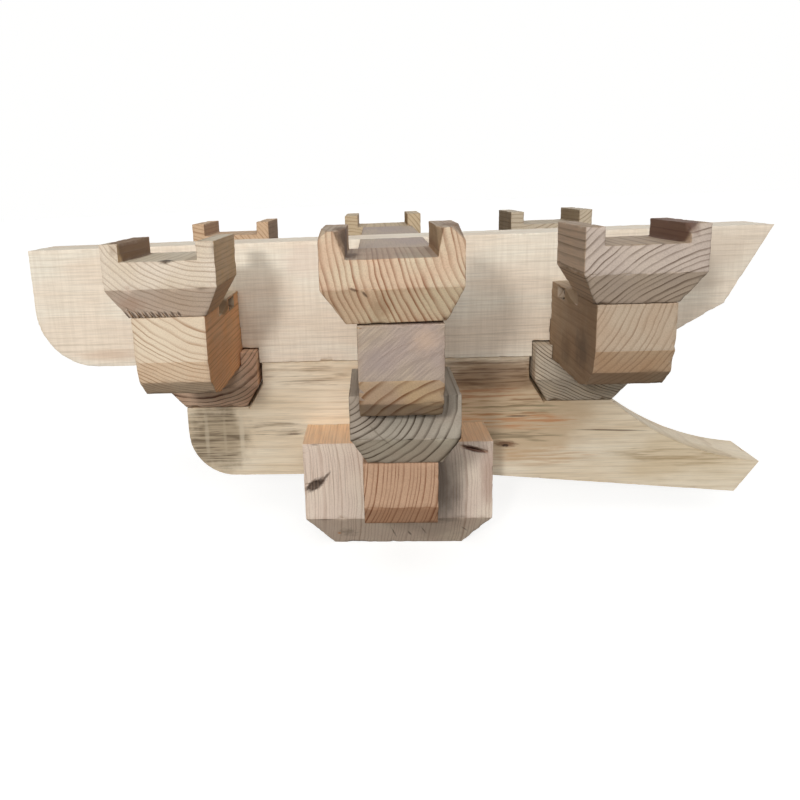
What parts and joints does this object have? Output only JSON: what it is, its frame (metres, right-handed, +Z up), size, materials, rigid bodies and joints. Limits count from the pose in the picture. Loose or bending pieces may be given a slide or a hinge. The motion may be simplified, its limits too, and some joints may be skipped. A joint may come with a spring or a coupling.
{
  "type": "dougong bracket set",
  "caption": "Unpainted pine dougong bracket set: crossed arms and slotted blocks on a cap block, with a round-backed beam over a beaked beam.",
  "frame": {"origin": "the middle of the cap block's underside", "axes": "+X along the beams to the beak, +Z up; the arms run along Y"},
  "size_m": [0.767, 0.564, 0.3435],
  "materials": {
    "cream_pine": "raw, sawn and unpainted",
    "tan_pine": "raw, sawn and unpainted",
    "pink_pine": "raw, sawn and unpainted",
    "orange_pine": "raw, sawn and unpainted",
    "grey_pine": "raw, sawn and unpainted",
    "brown_pine": "raw, sawn and unpainted"
  },
  "bodies": {
    "root": {"cap_block": "pink_pine", "lower_beak_beam": "tan_pine", "center_short_arm": "orange_pine", "short_arm_block_front": "grey_pine", "short_arm_block_back": "tan_pine", "beam_block_inner": "brown_pine", "beam_block_outer": "tan_pine", "upper_beam": "cream_pine", "center_long_arm": "grey_pine", "long_arm_block_front": "orange_pine", "long_arm_block_back": "tan_pine", "inner_arm": "cream_pine", "inner_arm_block_front": "cream_pine", "inner_arm_block_back": "orange_pine", "outer_arm": "tan_pine", "outer_arm_block_front": "pink_pine", "outer_arm_block_back": "grey_pine"}
  },
  "joints": []
}
